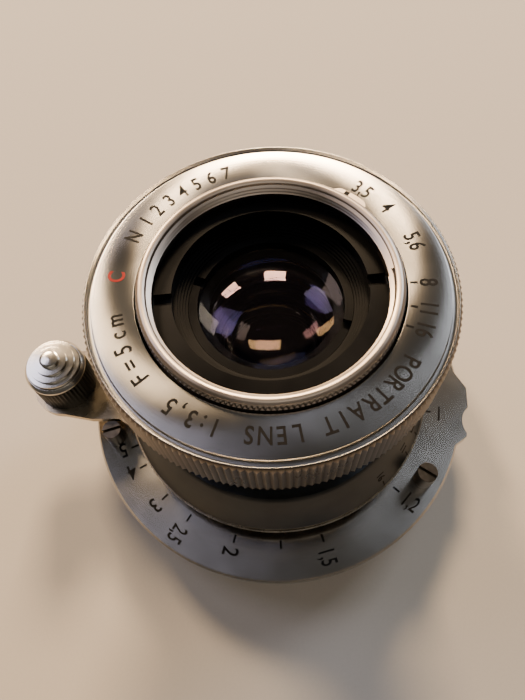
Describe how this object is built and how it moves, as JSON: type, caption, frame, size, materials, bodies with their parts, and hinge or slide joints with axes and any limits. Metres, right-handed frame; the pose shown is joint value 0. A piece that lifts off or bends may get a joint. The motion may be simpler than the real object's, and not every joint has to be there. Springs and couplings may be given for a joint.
{
  "type": "camera lens",
  "caption": "Small satin-chrome screw-mount camera lens with a focusing lever, stepped lock button, distance scale disc and a turning iris ring.",
  "frame": {"origin": "on the optical axis, in the plane of the mounting flange's seat", "axes": "+Z along the optical axis towards the front glass; the knob's arm points near -X at closest focus"},
  "size_m": [0.0644, 0.055, 0.0401],
  "materials": {
    "chromed_brass": "satin chrome on brass, fine turned finish, worn bright on its edges",
    "knurled_rim": "satin chrome with a fine straight knurl",
    "dark_neck": "dull grey-black anodised aluminium",
    "black_enamel": "semi-matt black enamel on turned metal",
    "bare_brass": "bare turned brass with grease in the threads",
    "blackened_steel": "blackened spring steel",
    "screw_steel": "plain turned steel",
    "coated_glass": "polished optical glass with a blue-violet coating",
    "aluminium": "turned aluminium"
  },
  "bodies": {
    "root": {"mount_sleeve": "chromed_brass", "distance_scale_disc": "chromed_brass", "disc_screws": "screw_steel", "near_stop_screw": "screw_steel", "infinity_stop_screw": "screw_steel"},
    "coupling_carriage": {"rangefinder_ring": "bare_brass"},
    "aperture_control": {"aperture_ring": "knurled_rim", "aperture_drive_screw": "screw_steel", "iris_drive_ring": "black_enamel"},
    "lock": {"lock_button": "chromed_brass", "lock_plunger": "screw_steel", "lock_spring": "screw_steel"},
    "leaf_1": {"iris_leaf_1": "blackened_steel"},
    "leaf_2": {"iris_leaf_2": "blackened_steel"},
    "leaf_3": {"iris_leaf_3": "blackened_steel"},
    "leaf_4": {"iris_leaf_4": "blackened_steel"},
    "leaf_5": {"iris_leaf_5": "blackened_steel"},
    "leaf_6": {"iris_leaf_6": "blackened_steel"},
    "leaf_7": {"iris_leaf_7": "blackened_steel"},
    "focus_unit": {"focus_helicoid": "bare_brass", "depth_scale_cone": "aluminium", "focus_lever": "chromed_brass", "lever_screws": "screw_steel", "knob_collar": "black_enamel", "barrel_neck": "dark_neck", "neck_grub_screws": "blackened_steel", "name_ring": "knurled_rim", "lens_barrel": "aluminium", "focus_shim": "bare_brass", "barrel_clamp_ring": "black_enamel", "iris_case": "black_enamel", "iris_cover_ring": "black_enamel", "front_glass": "coated_glass", "middle_glass": "coated_glass", "rear_flint_glass": "coated_glass", "rear_crown_glass": "coated_glass", "front_cell": "black_enamel", "glass_spacer": "black_enamel", "front_glass_ring": "black_enamel", "front_retaining_ring": "black_enamel", "rear_cell": "black_enamel", "rear_glass_ring": "black_enamel", "rear_baffle": "black_enamel"}
  },
  "joints": [
    {"name": "focus_travel", "type": "slide", "parent": "root", "child": "coupling_carriage", "axis": [0, 0, 1], "range_m": [-0.0029, 0]},
    {"name": "focus_turn", "type": "hinge", "parent": "coupling_carriage", "child": "focus_unit", "pos_m": [0, 0, 0], "axis": [0, 0, 1], "range_deg": [-190, 0]},
    {"name": "aperture_turn", "type": "hinge", "parent": "focus_unit", "child": "aperture_control", "pos_m": [0, 0, 0], "axis": [0, 0, 1], "range_deg": [-74, 0]},
    {"name": "lock_press", "type": "slide", "parent": "focus_unit", "child": "lock", "axis": [0, 0, -1], "range_m": [0, 0.0022], "stiffness_N_per_m": 400, "springref_m": -0.003, "deforming": ["lock_spring"]},
    {"name": "leaf_1_swing", "type": "hinge", "parent": "focus_unit", "child": "leaf_1", "pos_m": [0.0091, 0, 0.02], "axis": [0, 0, 1], "range_deg": [-39.5, 0]},
    {"name": "leaf_2_swing", "type": "hinge", "parent": "focus_unit", "child": "leaf_2", "pos_m": [0.00567, 0.00711, 0.02], "axis": [0, 0, 1], "range_deg": [-39.5, 0]},
    {"name": "leaf_3_swing", "type": "hinge", "parent": "focus_unit", "child": "leaf_3", "pos_m": [-0.00202, 0.00887, 0.02], "axis": [0, 0, 1], "range_deg": [-39.5, 0]},
    {"name": "leaf_4_swing", "type": "hinge", "parent": "focus_unit", "child": "leaf_4", "pos_m": [-0.0082, 0.00395, 0.02], "axis": [0, 0, 1], "range_deg": [-39.5, 0]},
    {"name": "leaf_5_swing", "type": "hinge", "parent": "focus_unit", "child": "leaf_5", "pos_m": [-0.0082, -0.00395, 0.02], "axis": [0, 0, 1], "range_deg": [-39.5, 0]},
    {"name": "leaf_6_swing", "type": "hinge", "parent": "focus_unit", "child": "leaf_6", "pos_m": [-0.00202, -0.00887, 0.02], "axis": [0, 0, 1], "range_deg": [-39.5, 0]},
    {"name": "leaf_7_swing", "type": "hinge", "parent": "focus_unit", "child": "leaf_7", "pos_m": [0.00567, -0.00711, 0.02], "axis": [0, 0, 1], "range_deg": [-39.5, 0]}
  ],
  "couplings": [
    {"joint": "focus_turn", "follows": "focus_travel", "rad_per_m": 1142.4},
    {"joint": "leaf_1_swing", "follows": "aperture_turn", "ratio": 0.53378},
    {"joint": "leaf_2_swing", "follows": "aperture_turn", "ratio": 0.53378},
    {"joint": "leaf_3_swing", "follows": "aperture_turn", "ratio": 0.53378},
    {"joint": "leaf_4_swing", "follows": "aperture_turn", "ratio": 0.53378},
    {"joint": "leaf_5_swing", "follows": "aperture_turn", "ratio": 0.53378},
    {"joint": "leaf_6_swing", "follows": "aperture_turn", "ratio": 0.53378},
    {"joint": "leaf_7_swing", "follows": "aperture_turn", "ratio": 0.53378}
  ]
}
